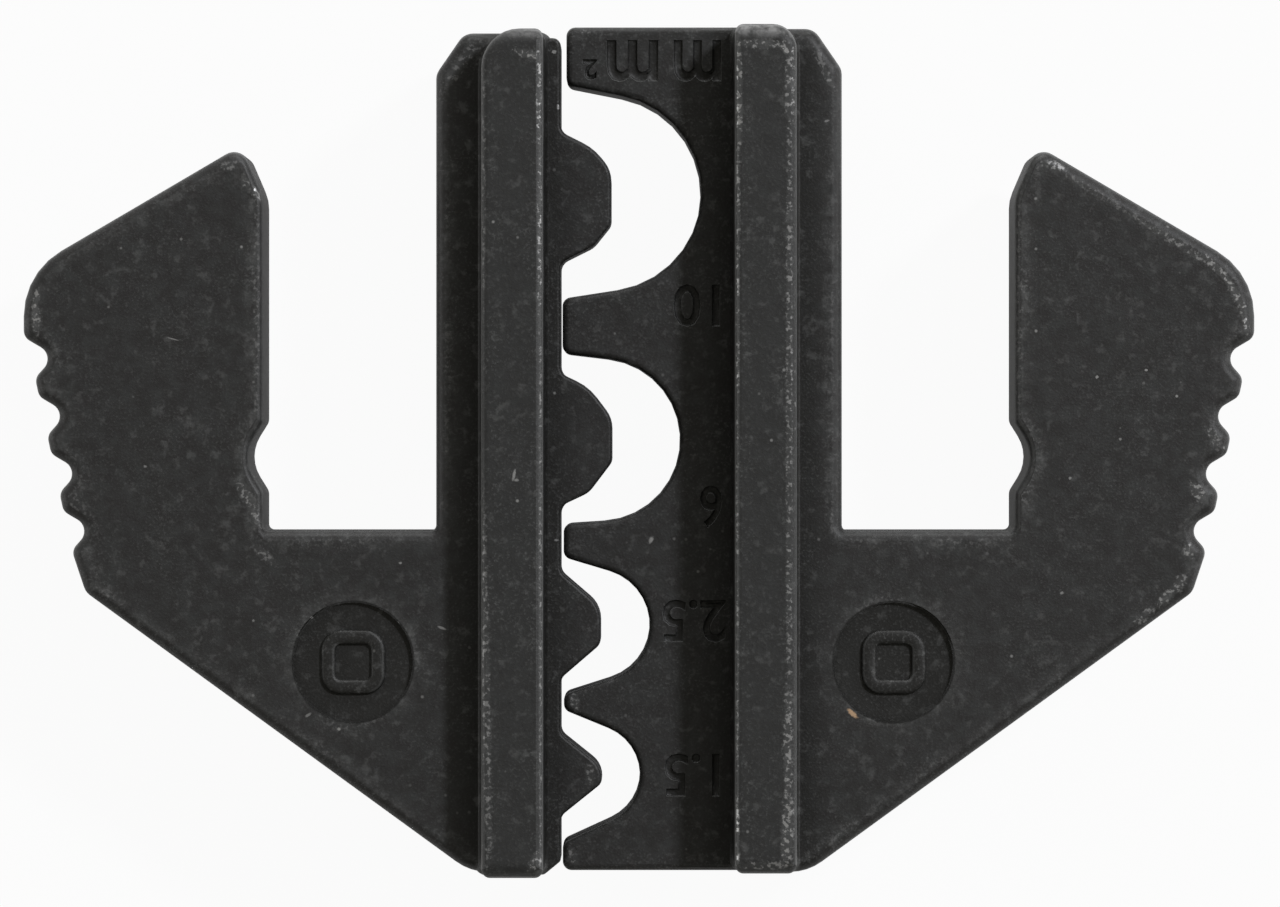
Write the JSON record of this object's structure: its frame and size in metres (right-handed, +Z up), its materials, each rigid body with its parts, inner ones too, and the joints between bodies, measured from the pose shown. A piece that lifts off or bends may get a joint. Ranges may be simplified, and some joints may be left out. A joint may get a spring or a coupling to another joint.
{
  "type": "crimp die",
  "caption": "Quick-change crimp die halves in black oxide steel, lying closed: nests for cable lugs face matching bumps, and each half has a jaw slot, catch notch and finger grip.",
  "frame": {"origin": "Middle of the closed pair's length and width, on the plane that the undersides of the two ribs lie on.", "axes": "+X runs across the pair from the punch die towards the anvil die, +Y runs along the jaws towards the open ends of the jaw slots, +Z points up, out of the faces with the size numbers."},
  "size_m": [0.044, 0.0304, 0.01],
  "materials": {
    "black_oxide_steel": "satin"
  },
  "bodies": {
    "anvil": {"anvil_die": "black_oxide_steel"},
    "punch": {"punch_die": "black_oxide_steel"}
  },
  "joints": [
    {"name": "jaw_opening", "type": "slide", "parent": "anvil", "child": "punch", "axis": [-1, 0, 0], "range_m": [0, 0.01]}
  ]
}
